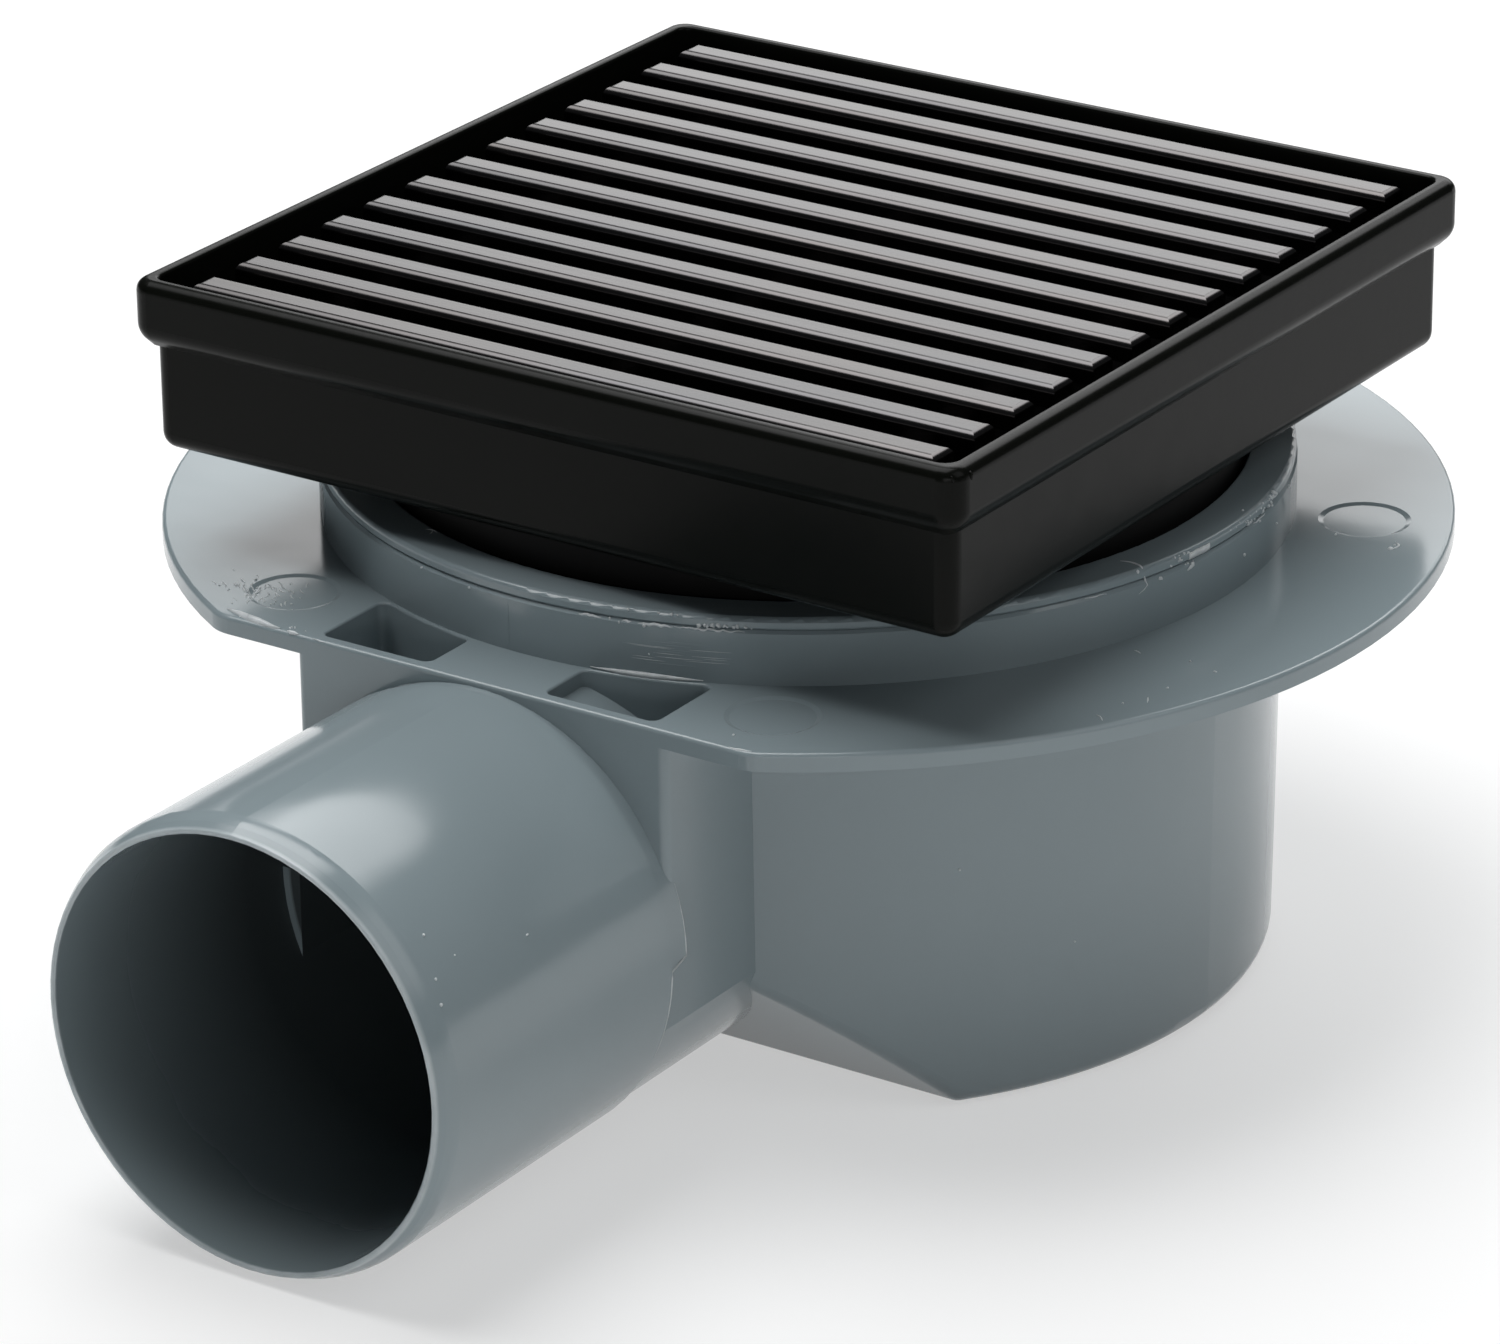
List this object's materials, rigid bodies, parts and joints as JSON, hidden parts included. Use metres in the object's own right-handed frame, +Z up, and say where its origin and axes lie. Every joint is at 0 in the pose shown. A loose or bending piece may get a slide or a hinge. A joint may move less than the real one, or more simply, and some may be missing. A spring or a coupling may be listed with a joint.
{
  "type": "square shower floor drain",
  "caption": "Square floor drain: slotted grate in a black frame on a height-adjustable neck, over a grey moulded pot with round flange and horizontal outlet spigot.",
  "frame": {"origin": "on the pot's axis, in the plane of the pot's underside", "axes": "+Z up through the grate, outlet spigot along -Y, grate bars along X"},
  "size_m": [0.1402, 0.1732, 0.0809],
  "materials": {
    "grey_plastic": "glossy",
    "seal_rubber": "matt",
    "neck_plastic": "satin",
    "trap_plastic": "satin",
    "frame_black": "satin",
    "bar_black": "brushed"
  },
  "bodies": {
    "drain": {"drain_body": "grey_plastic", "seal_ring": "grey_plastic", "lip_seal": "seal_rubber"},
    "neck": {"neck_tube": "neck_plastic", "trap_gasket": "seal_rubber", "trap_funnel": "trap_plastic", "trap_cup": "trap_plastic"},
    "frame": {"frame": "frame_black", "socket_ring_seal": "seal_rubber", "grate_ledge": "frame_black", "grate_bar_01": "bar_black", "grate_bar_02": "bar_black", "grate_bar_03": "bar_black", "grate_bar_04": "bar_black", "grate_bar_05": "bar_black", "grate_bar_06": "bar_black", "grate_bar_07": "bar_black", "grate_bar_08": "bar_black", "grate_bar_09": "bar_black", "grate_bar_10": "bar_black", "grate_bar_11": "bar_black", "grate_bar_12": "bar_black", "grate_bar_13": "bar_black", "grate_rail_1": "bar_black", "grate_rail_2": "bar_black", "grate_rail_3": "bar_black"}
  },
  "joints": [
    {"name": "neck_height", "type": "slide", "parent": "drain", "child": "neck", "axis": [0, 0, 1], "range_m": [-0.0036, 0.009]},
    {"name": "frame_turn", "type": "hinge", "parent": "neck", "child": "frame", "pos_m": [0, 0, 0.0573], "axis": [0, 0, 1], "continuous": true}
  ]
}
